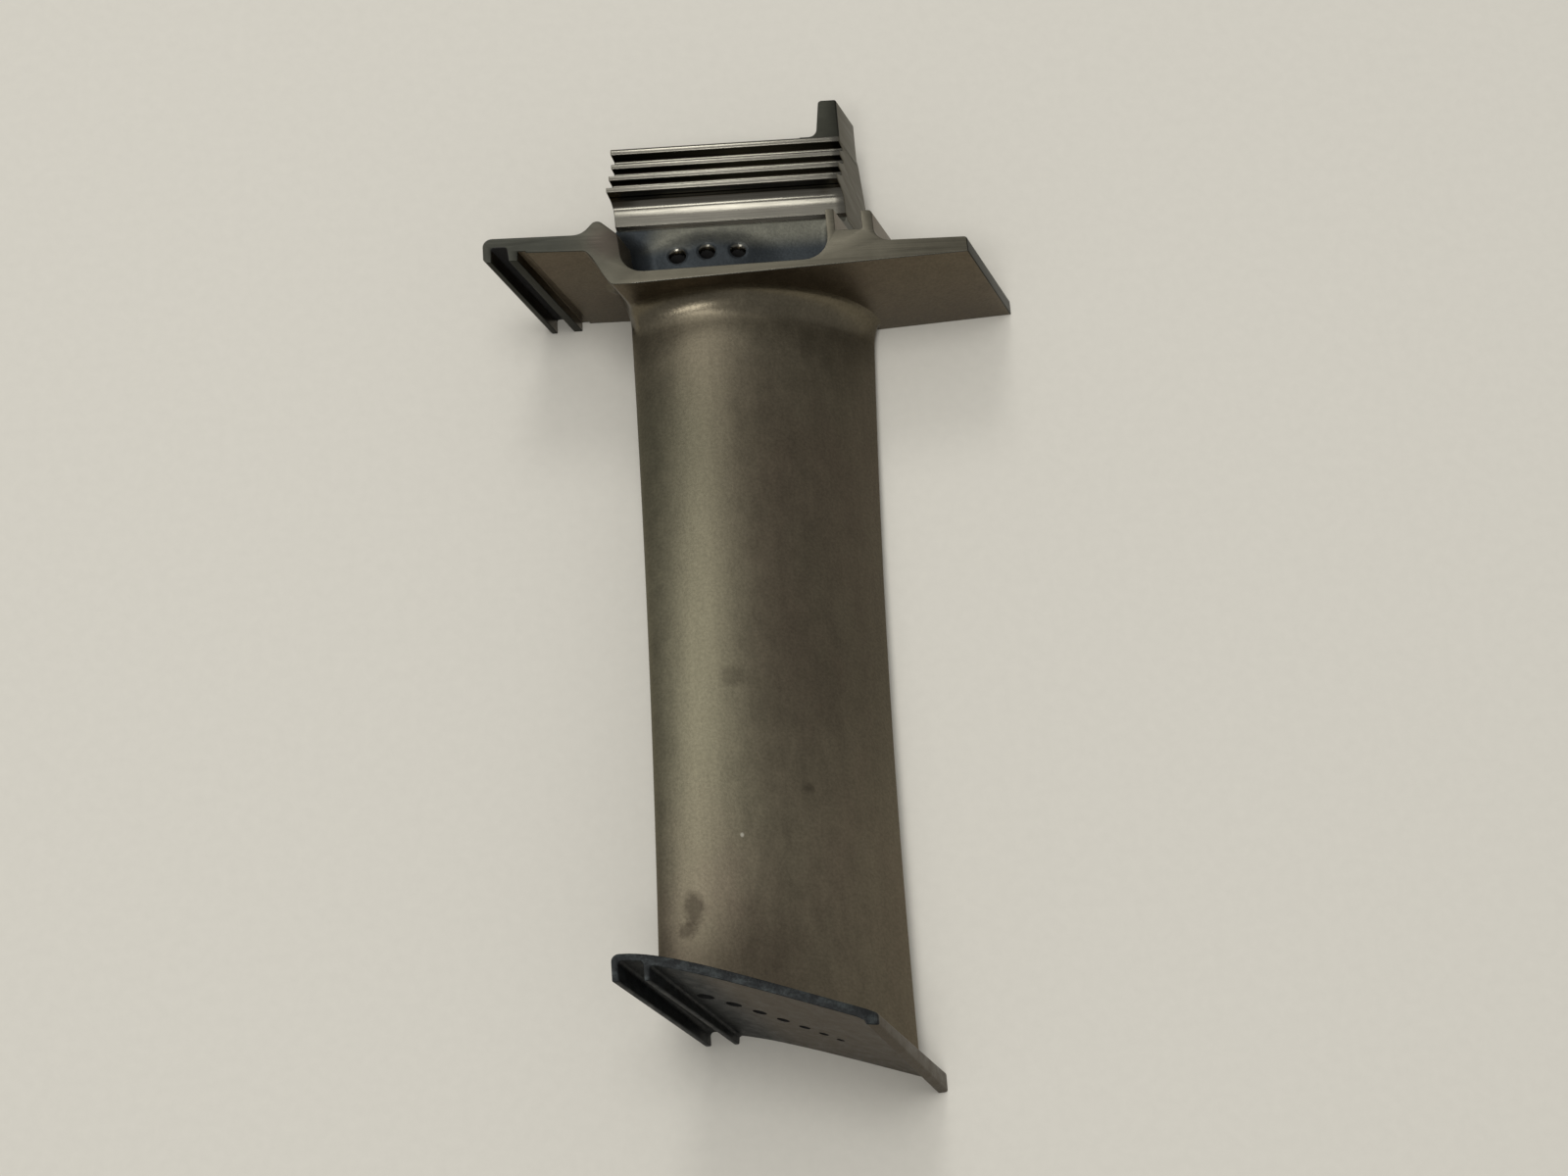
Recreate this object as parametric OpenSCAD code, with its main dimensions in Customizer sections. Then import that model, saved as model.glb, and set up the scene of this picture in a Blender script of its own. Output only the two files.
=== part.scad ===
// Shrouded turbine blade lying on its concave side: one casting with a fir-tree root,
// a hollowed shank, a platform with seal lips, a cambered airfoil and a tip shroud.
// +X runs from the leading to the trailing side, +Y points to the root, +Z is up.

/* [Airfoil] */
// length of the airfoil between platform and shroud, mm
foil_len = 88; // [70:0.5:110]
// chord across the blade at the platform, mm
chord_root = 29; // [24:0.5:36]
// chord across the blade at the shroud, mm
chord_tip = 27.6; // [22:0.1:36]
// greatest camber at the platform, share of the chord
camber_root = 0.155; // [0.08:0.005:0.2]
// greatest camber at the shroud, share of the chord
camber_tip = 0.09; // [0.05:0.005:0.18]
// greatest thickness at the platform, mm
thick_root = 5.4; // [3.5:0.1:7]
// greatest thickness at the shroud, mm
thick_tip = 3.6; // [2.5:0.1:6]
// half thickness of the trailing edge, mm
edge_half = 0.4; // [0.25:0.05:0.8]
// spread of the fillet over the platform, mm
fillet_root = 1.9; // [0.8:0.1:2.5]
// height of that fillet along the airfoil, mm
fillet_high = 3.4; // [1.5:0.1:5]
// fillet radius at the shroud, mm
fillet_tip = 1.3; // [0.6:0.1:2]

/* [Platform] */
// slant of front and rear edges from square, degrees
skew = 20.3; // [10:0.1:28]
// width of the platform across its side faces, mm
plat_width = 17.4; // [14:0.1:20]
// platform length ahead of the blade centre, mm
plat_front = 25.95; // [22:0.05:30]
// platform length behind the blade centre, mm
plat_rear = 30.4; // [24:0.1:34]
// thickness of the thin platform wings, mm
wing_thick = 2.1; // [1.6:0.1:2.6]
// height of the two seal lips below the front wing, mm
lip_depth = 1.1; // [0.6:0.05:1.4]
// half thickness of the shank wall between the side pockets, mm
web_half = 2.9; // [2.2:0.1:3]

/* [Root] */
// length of the root along its serrations, mm
root_len = 27.76; // [24:0.1:30]
// pitch of the serrations, mm
tooth_pitch = 2.2; // [2:0.05:2.3]
// half width of the lowest tooth, mm
tooth_half = 3.2; // [2.8:0.05:3.6]
// growth of the half width per tooth, mm
tooth_step = 1.0; // [0.7:0.05:1.1]
// half width of the neck below the teeth, mm
neck_half = 3.05; // [2.8:0.05:3.4]
// height of the end lug above the root, mm
lug_height = 5.0; // [3:0.1:7]
// thickness of the end lug, mm
lug_thick = 2.2; // [1.6:0.1:3]

/* [Shroud] */
// width of the shroud across its side faces, mm
shroud_width = 23.9; // [20:0.1:25.5]
// plate thickness of the shroud, mm
shroud_thick = 1.2; // [1.0:0.1:1.8]
// height of the front fins above the plate, mm
fin_height = 2.4; // [1.5:0.1:3]
// height of the rear rim above the plate, mm
rim_height = 1.5; // [0.8:0.1:2.5]
// diameter of the largest outlet hole, mm
hole_big = 1.9; // [1.4:0.1:2.2]
// diameter of the smallest outlet hole, mm
hole_small = 0.9; // [0.7:0.1:1.3]

/* [Hidden] */
$fn = 40;

k = tan(skew);
zc = 9.0;                        // middle height of the root
a0 = 15.1 - root_len;            // front end plane of the root
a1 = 15.1;                       // rear end plane of the root
x_min = -plat_front - k * plat_top(-plat_front);
x_max = plat_rear;
crest = 21.6;
y_max = crest + lug_height;
y_min = shroud_in(13.65) - shroud_thick - rim_height - 0.2;
cx = (x_min + x_max) / 2;
cy = (y_min + y_max) / 2;

// height of the upper side face at station a (measured on the table along X)
function plat_top(a) = plat_width - 0.0355 * a;
function shroud_top(a) = shroud_width - 0.0995 * a;

// gas-path face of the platform at station a
function gas(a) = 0.15 + 0.058 * a;
function ease(t) = let(c = max(0, min(1, t))) c * c * (3 - 2 * c);
function hub(a) = let(g = gas(max(a, -9))) g + (4.3 - g) * ease((-11 - a) / 3.4);

// inner face of the shroud at station a, on the upper side; it drops towards the table
function shroud_in(a) = let(t = max(0, a + 11.4))
    3 - foil_len - 0.352 * t + 1.41 * (1 - exp(-t / 4));
lean = 1.55;                     // tilt of the shroud across its width, degrees
function shroud_at(a, z) = shroud_in(a) - tan(lean) * (24 - z);

// points of a circular arc
function arc(cx0, cy0, r, b0, b1, n = 5) =
    [for (i = [0:n]) [cx0 + r * cos(b0 + (b1 - b0) * i / n), cy0 + r * sin(b0 + (b1 - b0) * i / n)]];

// slab below the plane z = top - slope * a, above the table
module below(top, slope) {
    h = function(x) (top - slope * x) / (1 + slope * k);
    rotate([90, 0, 0]) translate([0, 0, -130]) linear_extrude(260)
        polygon([[-60, 0], [60, 0], [60, h(60)], [-60, h(-60)]]);
}

// profile in (a, y) swept along the slanted edge direction
module swept(pts, h = 64, z0 = -22)
    rotate([0, -skew, 0]) translate([0, 0, z0]) linear_extrude(h)
        polygon([for (p = pts) [p[0] * cos(skew), p[1]]]);

// ---- airfoil ----
function camber(u, m, p = 0.42) = u < p ? m / (p * p) * (2 * p * u - u * u)
    : m / ((1 - p) * (1 - p)) * (1 - 2 * p + 2 * p * u - u * u);
function camber_ang(u, m, p = 0.42) = atan(u < p ? 2 * m / (p * p) * (p - u)
    : 2 * m / ((1 - p) * (1 - p)) * (p - u));
function half_thick(u, t) = t * 2.5 * 2 * (0.2969 * sqrt(u) - 0.1260 * u - 0.3516 * u * u
    + 0.2843 * u * u * u - 0.1036 * u * u * u * u) + edge_half * u;

// leading and trailing edge lines along the span, s = 0 platform, s = 1 shroud
function le_x(s) = -15.85 - 1.5 * s * s;
function le_z(s) = 7.5 + 7.7 * s;
function te_x(s) = le_x(s) + chord_root + (chord_tip - chord_root) * s - 4.6 * s * (1 - s);
function te_z(s) = 1.0 + 3.2 * s;
function chord(s) = norm([te_x(s) - le_x(s), te_z(s) - le_z(s)]);
function tilt(s) = atan2(te_z(s) - le_z(s), te_x(s) - le_x(s));

foil_n = 24;
function foil_pt(i, side, s, d) =
    let(f = 180 * i / foil_n, u = (1 - cos(f)) / 2, c = chord(s),
        m = camber_root + (camber_tip - camber_root) * s,
        t = thick_root + (thick_tip - thick_root) * s,
        g = camber_ang(u, m), al = tilt(s),
        at = function(e) let(w = side * (half_thick(u, t) + e * sin(f)),
            px = c * u - e * cos(f) - w * sin(g), pz = c * camber(u, m) + w * cos(g))
            [le_x(s) + px * cos(al) - pz * sin(al), le_z(s) + px * sin(al) + pz * cos(al)],
        b = at(0), q = at(d), a = b[0] + k * b[1], aq = q[0] + k * q[1],
        z = max(0.08, q[1]), x = min(q[0], 13.4 - k * z),
        // the nose reaches deeper into the step of the platform
        p = s < 0 ? s * (1 + 3 * max(0, 1 - 5 * u)) : s)
    s < 0.5 ? [q[0], (1 - p) * hub(a) + p * shroud_at(a, z), z]
        : [x, (1 - s) * hub(a) + s * shroud_at(min(aq, 13.4), z), z];

// closed ring: upper side from the trailing edge forward, then the lower side back
function ring(s, d) = concat(
    [for (i = [foil_n:-1:0]) foil_pt(i, 1, s, d)],
    [for (i = [1:foil_n]) foil_pt(i, -1, s, d)]);

// sideways spread of the fillet at share q of its height
function flare(q, r) = q >= 1 ? 0 : q < 0 ? 0.8 * r : r - r * sqrt(1 - pow(1 - q, 2));
near = [-0.3, 0.05, 0.15, 0.3, 0.5, 0.75];
stations = concat(
    [for (q = near) [q * (q < 0 ? 1.9 : fillet_high) / foil_len, flare(q, fillet_root)]],
    [for (i = [0:14]) [(fillet_high + (foil_len - fillet_high - fillet_tip) * i / 14) / foil_len, 0]],
    [for (i = [5:-1:0]) let(q = near[i]) [1 - q * fillet_tip / foil_len, flare(q, fillet_tip)]]);

module airfoil() {
    nr = 2 * foil_n + 1;
    ns = len(stations);
    pts = [for (st = stations) each ring(st[0], st[1])];
    sides = [for (j = [0:ns - 2]) for (i = [0:nr - 1]) let(p = j * nr + i, q = j * nr + (i + 1) % nr)
        each [[p, p + nr, q], [q, p + nr, q + nr]]];
    // end caps as strips between upper and lower side
    cap = [for (i = [0:foil_n - 1]) each i == foil_n - 1
        ? [[i, i + 1, nr - 1 - i]]
        : [[i, i + 1, nr - 1 - i], [i + 1, nr - 2 - i, nr - 1 - i]]];
    top = [for (t = cap) [t[0] + (ns - 1) * nr, t[2] + (ns - 1) * nr, t[1] + (ns - 1) * nr]];
    polyhedron(pts, concat(sides, cap, top), convexity = 6);
}

// ---- platform and shank ----
lip_y = 4.4 - lip_depth;
wing_y = 4.4 + wing_thick;
module platform() {
    gas_line = [for (i = [0:10]) let(a = -11 - 3.4 * (1 - i / 10)) [a, hub(a)]];
    intersection() {
        swept(concat(
            [[-plat_front, 5.5], [-plat_front, 4.0], [-plat_front + 0.25, lip_y], [-plat_front + 0.95, lip_y]],
            [[-24.95, 4.95], [-24.7, 5.2], [-23.45, 5.2], [-23.2, 4.95], [-23.0, lip_y + 0.1]],
            [[-21.95, lip_y + 0.1], [-21.9, 4.6], [-21.1, 4.6], [-21.0, 4.4]],
            gas_line,
            [[-9, hub(-9)], [plat_rear, gas(plat_rear)], [plat_rear, gas(plat_rear) + 1.6],
             [plat_rear - 0.35, 3.95], [21.4, 3.95]],
            // post beside the locking notch
            arc(21.3, 5.7, 1.75, -90, -165, 4),
            [[19.6, 7.7], [19.35, 8.05], [18.45, 8.15], [18.25, 7.9], [18.25, 5.75], [18.1, 5.6],
             [a1 + 0.12, 5.6], [a1, 5.75], [a1, 8.5], [a1 - 1, 8.5]],
            // pocket floor and corners
            arc(11.1, 4.9, 3.0, 0, -88, 8),
            arc(-7.4, 3.7, 2.5, -90, -172, 7),
            // hump at the front of the shank
            [[-10.45, 6.1], [-10.7, 6.65], [-11.15, 7.2], [-11.75, 7.7], [-12.4, 8.1], [-12.85, 8.2],
             [-13.25, 8.0], [-13.65, 7.5], [-14.1, 7.0], [-14.7, 6.65], [-15.5, wing_y], [-plat_front + 1.1, wing_y], [-plat_front + 0.3, 6.1]]));
        below(plat_width, 0.0355);
    }
}

module shank() {
    // web between the two side pockets, carries the root
    intersection() {
        swept([[a0 - 0.9, 6], [-11.4, 2.9], [-9.4, 0.9], [a1, 1.6], [a1, 12], [a0, 12], [a0, 10.4], [a0 - 0.9, 8.6]]);
        translate([-60, 0, zc - web_half]) cube([120, 40, 2 * web_half]);
    }
    // low swelling on the upper pocket wall around the feed holes
    intersection() {
        translate([-5.9, 5.8, zc + web_half + 0.8 - 6]) rotate([0, 90, 0])
            rotate_extrude() polygon(concat([[0, -7]],
                [for (i = [-7:1:7]) [6 - (26 - sqrt(26 * 26 - i * i)), i]], [[0, 7]]));
        translate([-20, -2, zc]) cube([40, 30, 20]);
    }
}

// one side of the root profile as (y, half width)
function tooth(y, w, drop, run) = [[y + 0.42, w - 0.22], [y + 0.2, w], [y - 0.15, w],
    [y - 0.38, w - 0.2], [y - run + 0.22, w - drop + 0.12], [y - run, w - drop], [y - run - 0.3, w - drop]];
half_root = let(t2 = 19.0, w = tooth_half) concat(
    [[crest, 0], [crest, w - 0.75], [crest - 0.22, w - 0.25], [crest - 0.45, w - 0.08], [crest - 0.8, w - 0.12],
     [t2 + 1.25, w - 1.2], [t2 + 0.95, w - 1.2]],
    tooth(t2, w, 0.95, 0.75),
    tooth(t2 - tooth_pitch, w + tooth_step, 0.95, 0.75),
    [for (p = tooth(t2 - 2 * tooth_pitch, w + 2 * tooth_step, 1.2, 0.9)) if (p[0] > t2 - 2 * tooth_pitch - 0.6) p],
    [for (i = [0:9]) let(b = -62 + 98 * i / 9) [13.05 - 1.1 * sin(b), neck_half + 2 * (1 - cos(b))]],
    [[12.1, neck_half + 0.5], [11.6, neck_half + 0.56], [10.5, neck_half + 0.48], [10.15, neck_half + 0.3],
     [9.75, neck_half - 0.3], [9.7, 0]]);

module root() {
    lower = [for (i = [len(half_root) - 2:-1:1]) [half_root[i][0], -half_root[i][1]]];
    intersection() {
        translate([-40, 0, zc]) rotate([90, 0, 90]) linear_extrude(80)
            polygon(concat(half_root, lower));
        swept([[a0, 5], [a1, 5], [a1, 24], [a0, 24]]);
    }
    // end lug that stops the blade in its slot
    intersection() {
        swept(concat([[a1, crest - 0.4], [a1, y_max]],
            arc(a1 - lug_thick + 0.45, y_max - 0.45, 0.45, 90, 180, 4),
            arc(a1 - lug_thick - 1.95, crest + 1.35, 1.4, 0, -88, 6),
            [[a1 - lug_thick - 1.95, crest - 0.4]]));
        translate([-40, 7, zc - tooth_half + 0.1]) cube([80, 40, 2 * tooth_half - 0.2]);
    }
}

// ---- tip shroud ----
module shroud() {
    th = shroud_thick;
    fin = shroud_in(-9.5) - th - fin_height + 0.65;
    intersection() {
        translate([0, -88, 24]) rotate([-lean, 0, 0]) translate([0, 88, -24]) swept(concat(
            [for (i = [0:14]) let(a = 12.9 - 23.9 * i / 14) [a, shroud_in(a)]],
            arc(-11.55, shroud_in(-11) - 1.3, 1.3, 90, 180, 5),
            [[-12.85, fin - 0.4], [-12.15, fin - 0.5]],
            [[-12.15, shroud_in(-11) - 1.0], [-11.95, shroud_in(-11) - 0.75], [-9.8, shroud_in(-11) - 0.8],
             [-9.6, shroud_in(-11) - 1.0], [-9.6, fin - 0.5], [-9.0, fin - 0.5]],
            [for (i = [0:13]) let(a = -8.9 + 20.8 * i / 13) [a, shroud_in(a) - th]],
            [[12.3, shroud_in(12.3) - th - 0.35], [12.55, y_min - 0.8], [13.65, y_min - 0.8],
             [13.65, shroud_in(13.65) - 0.15], [13.3, shroud_in(13.3)]]));
        below(shroud_width, 0.0995);
        // level crests on the front fins; the rear rim stands tallest at the lower side face
        swept([[-30, fin], [-6, fin], [-6, y_min - 9], [30, y_min - 9], [30, -60], [-30, -60]], h = 80, z0 = -30);
        translate([-60, y_min, 0]) rotate([90, 0, 90]) linear_extrude(120)
            polygon([[0, -5], [0, 0], [rim_height, 23], [rim_height + 0.4, 30], [60, 30], [60, -5]]);
    }
}

module feed_holes()
    for (h = [[-9.9, 5.9, 2.1], [-6.35, 6.2, 2.0], [-2.65, 6.15, 1.9]])
        translate([h[0], h[1], zc + web_half - 2.6]) cylinder(d = h[2], h = 6);

// seven outlets through the shroud into the airfoil, along its mean line
module outlet_holes()
    for (i = [0:6]) {
        f = i / 6;
        x = -12.45 + 3.1 * i - 0.118 * i * i;
        z = 14.95 - 0.44 * (x + 12.45) + 0.8 * f * (1 - f);
        translate([x, shroud_in(x + k * z) - 6, z]) rotate([-90, 0, 0])
            cylinder(d = hole_big + (hole_small - hole_big) * f, h = 8, $fn = 24);
    }

module blade() {
    color([0.36, 0.33, 0.28]) translate([-cx, -cy, 0]) difference() {
        union() {
            airfoil();
            platform();
            shank();
            root();
            shroud();
        }
        feed_holes();
        outlet_holes();
    }
}

blade();
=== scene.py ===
"""Shrouded turbine blade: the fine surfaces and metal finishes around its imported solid.

All shapes are worked out in millimetres in the blade's own drawing axes: x runs along the
root serrations, y from the platform towards the root, z up from the table. The front and rear
edges are slanted, so a station a = x + SLANT * z is constant along each of those edges.
"""
import math

import bpy
import numpy as np
from mathutils import Matrix, Vector


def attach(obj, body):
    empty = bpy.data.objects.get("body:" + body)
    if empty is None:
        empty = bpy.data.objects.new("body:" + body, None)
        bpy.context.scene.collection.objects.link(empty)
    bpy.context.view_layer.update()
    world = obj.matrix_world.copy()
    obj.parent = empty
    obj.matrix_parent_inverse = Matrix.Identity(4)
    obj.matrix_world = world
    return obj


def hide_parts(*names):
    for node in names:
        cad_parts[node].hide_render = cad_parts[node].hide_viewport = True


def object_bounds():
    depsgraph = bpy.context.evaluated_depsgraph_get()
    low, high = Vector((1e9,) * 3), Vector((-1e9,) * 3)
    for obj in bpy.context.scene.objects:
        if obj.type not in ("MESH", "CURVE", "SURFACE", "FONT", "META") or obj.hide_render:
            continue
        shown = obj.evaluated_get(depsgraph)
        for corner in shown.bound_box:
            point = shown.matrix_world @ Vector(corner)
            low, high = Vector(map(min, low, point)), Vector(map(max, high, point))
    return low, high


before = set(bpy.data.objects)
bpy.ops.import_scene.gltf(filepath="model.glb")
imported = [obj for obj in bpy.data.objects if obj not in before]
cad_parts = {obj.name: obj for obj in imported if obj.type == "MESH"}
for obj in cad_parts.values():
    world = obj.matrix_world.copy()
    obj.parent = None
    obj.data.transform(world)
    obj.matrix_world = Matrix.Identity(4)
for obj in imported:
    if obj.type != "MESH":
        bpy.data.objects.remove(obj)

bl_info = {
    "name": "Turbine Blade",
    "version": (1, 0, 0),
    "blender": (4, 5, 0),
    "location": "View3D > Sidebar > Blade",
    "description": "Builds a shrouded, cooled turbine blade as one casting with its finishes",
    "category": "Add Mesh",
}

CAD_BOX = [list(corner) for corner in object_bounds()]
NODE = "blade"

# ---- drawing values, mm ----
SLANT = math.tan(math.radians(20.3))
STATION_AXIS = (1.0, 0.0, SLANT)  # direction along which the station grows
LEAN = math.tan(math.radians(1.55))  # lean of the shroud across its width
LEAN_TOP = 24.0        # height at which that lean starts
ROOT_MID = 9.0         # height of the root's middle plane
ROOT_REAR = 15.1       # station of the root's rear end plane
CREST = 21.6           # y of the root's crest
TOOTH = 19.0           # y of the tip of the narrowest tooth
WING = 4.4             # y of the front wing's gas side
PLATE_SLOPE = 0.0355   # fall of the platform's upper side face per station
SHROUD_SLOPE = 0.0995  # the same fall on the shroud
NOSE = -11.0           # station of the shroud's nose
REAR_RIM = 13.65       # station of the shroud's rear end
FOIL_REAR = 13.4       # station that the airfoil's tip doesn't pass


def mm(value):
    """Millimetres of a length in metres."""
    return value * 1000.0


# ---- sizes and finishes a user would change ----
def length(name, description, default):
    return bpy.props.FloatProperty(
        name=name, description=description, default=default / 1000.0, min=0.0, unit="LENGTH",
        precision=5)


def hex_colour(text):
    """Linear colour of an sRGB hex value."""
    parts = [int(text[i:i + 2], 16) / 255 for i in (1, 3, 5)]
    return tuple(c / 12.92 if c <= 0.04045 else ((c + 0.055) / 1.055) ** 2.4 for c in parts)


def colour(name, description, default):
    return bpy.props.FloatVectorProperty(
        name=name, description=description, subtype="COLOR", size=3, min=0.0, max=1.0,
        default=hex_colour(default))


def power(name, description, default):
    return bpy.props.FloatProperty(
        name=name, description=description, default=default, min=0.0, unit="POWER")


class BladeAirfoilSizes(bpy.types.PropertyGroup):
    span: length("Span", "Length of the airfoil between platform and shroud", 88.0)
    chord_root: length("Root chord", "Chord at the platform", 29.0)
    chord_tip: length("Tip chord", "Chord at the shroud", 27.6)
    thick_root: length("Root thickness", "Greatest thickness at the platform", 5.4)
    thick_tip: length("Tip thickness", "Greatest thickness at the shroud", 3.6)
    edge_half: length("Edge", "Half thickness of the trailing edge", 0.4)
    fillet_out: length("Fillet spread", "Spread of the fillet over the platform", 2.7)
    fillet_high: length("Fillet height", "Height of that fillet along the airfoil", 3.4)
    fillet_tip: length("Tip fillet", "Fillet radius at the shroud", 1.3)


class BladeFootSizes(bpy.types.PropertyGroup):
    plat_width: length("Platform width", "Width of the platform across its side faces", 17.4)
    plat_front: length("Platform front", "Platform length ahead of the blade's centre", 25.95)
    plat_rear: length("Platform rear", "Platform length behind the blade's centre", 30.4)
    wing_thick: length("Wing", "Thickness of the thin platform wings", 2.1)
    lip_depth: length("Lips", "Height of the two seal lips", 1.1)
    web_half: length("Web", "Half thickness of the shank wall", 2.9)
    root_len: length("Root length", "Length of the root along its serrations", 27.76)
    pitch: length("Pitch", "Pitch of the serrations", 2.2)
    tooth_half: length("Tooth", "Half width of the lowest tooth", 3.2)
    neck_half: length("Neck", "Half width of the neck", 3.05)
    lug_high: length("Lug height", "Height of the end lug above the root", 5.0)
    lug_thick: length("Lug thickness", "Thickness of the end lug", 2.2)


class BladeTipSizes(bpy.types.PropertyGroup):
    width: length("Shroud width", "Width of the shroud across its side faces", 23.9)
    plate: length("Plate", "Thickness of the shroud's plate", 1.2)
    fin: length("Fins", "Height of the front fins", 2.4)
    rim: length("Rear rim", "Height of the rear rim", 1.5)
    hole_big: length("Largest outlet", "Diameter of the largest outlet hole", 1.9)
    hole_small: length("Smallest outlet", "Diameter of the smallest outlet hole", 0.9)


class BladeFinish(bpy.types.PropertyGroup):
    cast: colour("Cast skin", "Oxidised skin of the airfoil", "#564E42")
    olive: colour("Olive tint", "Thinner oxide on the forward part", "#5A5647")
    gas_face: colour("Gas faces", "Hotter oxide on the platform's gas side", "#6E6353")
    ground: colour("Ground faces", "Ground side faces", "#5D594D")
    machined: colour("Machined root", "Creep-feed ground serrations", "#69665D")
    # the pocket colour is the raw casting's blue-grey, laid where painted shade falls in the pocket
    pocket: colour("Pocket", "Uncoated casting inside the shank pocket", "#2A2E30")
    soot: colour("Char", "Burnt deposit on the shroud's edges", "#1B1D1D")
    fleck: colour("Flecks", "Blue-grey flecks in the char", "#414645")
    stain: colour("Stain", "Dark stains on the airfoil", "#2C261F")


class BladeStage(bpy.types.PropertyGroup):
    floor: colour("Floor", "Plain pale floor", "#CDC9BE")
    window: power("Window", "Power of the soft light beyond the root", 2.6)
    wall: power("Wall", "Power of the broad, weak light above the window", 1.1)
    ceiling: power("Ceiling", "Power of the light overhead", 4.8)
    lamp: power("Lamp", "Power of the soft light behind the camera", 3.3)
    fill: bpy.props.FloatProperty(name="Sky", description="Strength of the even light from all round",
                                  default=0.385, min=0.0)


# ---- curves of the blade ----
def ease(t):
    """Smooth step: 3t^2 - 2t^3 between 0 and 1."""
    t = np.clip(t, 0.0, 1.0)
    return t * t * (3 - 2 * t)


def gas_line(a):
    """Gas side of the platform's rear wing."""
    return 0.15 + 0.058 * a


def hub_line(a):
    """Gas side of the platform: a straight rise, stepping up to the front wing."""
    g = gas_line(np.maximum(a, -9.0))
    return g + (4.3 - g) * ease((-11.0 - a) / 3.4)


def shroud_line(a, span):
    """Inner side of the shroud: level nose, then a slope of 0.352 that an exponential eases in."""
    t = np.maximum(0.0, np.asarray(a, float) - NOSE + 0.4)
    return 3 - span - 0.352 * t + 1.41 * (1 - np.exp(-t / 4))


def shroud_face(a, z, span):
    """Inner side of the shroud at a height, with its lean."""
    return shroud_line(a, span) - LEAN * (LEAN_TOP - z)


def plate_top(a, size):
    """Upper side face of the platform."""
    return mm(size.plat_width) - PLATE_SLOPE * a


def shroud_top(a, size):
    """Upper side face of the shroud: a fall per station, and its last 0.95 mm rubbed round."""
    rubbed = np.clip((a - REAR_RIM + 0.95) / 0.95, 0, 1)
    return mm(size.width) - SHROUD_SLOPE * a - 0.7 * rubbed**2


def round_path(points, steps=6):
    """Closed outline from corners (u, v, radius): each corner becomes a tangent circular arc."""
    pts = np.array([p[:2] for p in points], float)
    out = []
    for i, (u, v, r) in enumerate(points):
        here = np.array([u, v])
        back, ahead = pts[i - 1] - here, pts[(i + 1) % len(pts)] - here
        lb, la = np.linalg.norm(back), np.linalg.norm(ahead)
        back, ahead = back / lb, ahead / la
        half = math.acos(max(-1.0, min(1.0, float(back @ ahead)))) / 2
        if r <= 0 or half > math.radians(84):  # sharp, or too flat to round
            out.append(here[None])
            continue
        run = min(r / math.tan(half), 0.47 * lb, 0.47 * la)
        r = run * math.tan(half)
        mid = (back + ahead) / np.linalg.norm(back + ahead)
        centre = here + mid * r / math.sin(half)
        start, end = here + back * run - centre, here + ahead * run - centre
        t = np.linspace(0, 1, steps + 1)[:, None]
        full = math.pi - 2 * half
        arc = (np.sin((1 - t) * full) * start + np.sin(t * full) * end) / math.sin(full)
        out.append(centre + arc)
    return np.concatenate(out)


def inset(outline, amount):
    """Outline moved inwards by amount along its mitred corner normals."""
    after = np.roll(outline, -1, 0) - outline
    u, v = outline.T
    turn = 0.5 * np.sum(u * np.roll(v, -1) - np.roll(u, -1) * v)
    edge = after / np.maximum(np.linalg.norm(after, axis=1, keepdims=True), 1e-9)
    normal = np.stack([-edge[:, 1], edge[:, 0]], 1) * math.copysign(1.0, turn)
    before = np.roll(normal, 1, 0)
    both = before + normal
    scale = np.maximum(1 + np.sum(before * normal, axis=1, keepdims=True), 0.6)
    return outline + amount * both / scale


# ---- meshes ----
def place(points):
    """Drawing axes to the row frame: millimetres to metres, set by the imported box's low corner."""
    foot = bpy.context.scene.blade_foot
    front = -mm(foot.plat_front)
    low_x = front - SLANT * plate_top(front, foot)
    lo = CAD_BOX[0]
    shift = np.array([lo[0] - low_x / 1000, lo[1] - tip_low() / 1000, 0.0])
    return points / 1000 + shift


def tip_low():
    """Lowest y of the shroud, at its rear rim."""
    tip, foil = bpy.context.scene.blade_tip, bpy.context.scene.blade_airfoil
    return float(shroud_line(REAR_RIM, mm(foil.span))) - mm(tip.plate) - mm(tip.rim) - 0.2


def new_object(name, data):
    made = bpy.data.objects.new(name, data)
    bpy.context.scene.collection.objects.link(made)
    return made


def finished(name, points, faces, materials, slots=None, smooth=32.0, flat=2):
    """One piece in the row frame, faces outwards, smooth below the given angle.

    The last faces in the list, flat of them, are plane end faces and keep their own normal.
    """
    points = place(np.asarray(points, float))
    mesh = bpy.data.meshes.new(name)
    mesh.from_pydata(points.tolist(), [], faces)
    for material in materials:
        mesh.materials.append(material)
    if slots is not None:
        mesh.polygons.foreach_set("material_index", np.asarray(slots, np.int32))
    mesh.update()
    piece = new_object(name, mesh)
    outward(mesh)
    soft = np.ones(len(faces), bool)
    soft[len(faces) - flat:] = False
    mesh.polygons.foreach_set("use_smooth", soft)
    mesh.set_sharp_from_angle(angle=math.radians(smooth))
    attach(piece, "root")
    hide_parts(NODE)
    return piece


def slots_of(mesh):
    """Material slot of each face."""
    slots = np.empty(len(mesh.polygons), np.int32)
    mesh.polygons.foreach_get("material_index", slots)
    return slots


def outward(mesh):
    """Turns all faces round if the closed mesh's signed volume is negative."""
    mesh.calc_loop_triangles()
    tri = np.empty(len(mesh.loop_triangles) * 3, np.int32)
    mesh.loop_triangles.foreach_get("vertices", tri)
    co = np.empty(len(mesh.vertices) * 3)
    mesh.vertices.foreach_get("co", co)
    p = co.reshape(-1, 3)[tri.reshape(-1, 3)]
    if np.einsum("ij,ij->i", p[:, 0], np.cross(p[:, 1], p[:, 2])).sum() < 0:
        mesh.flip_normals()


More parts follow.
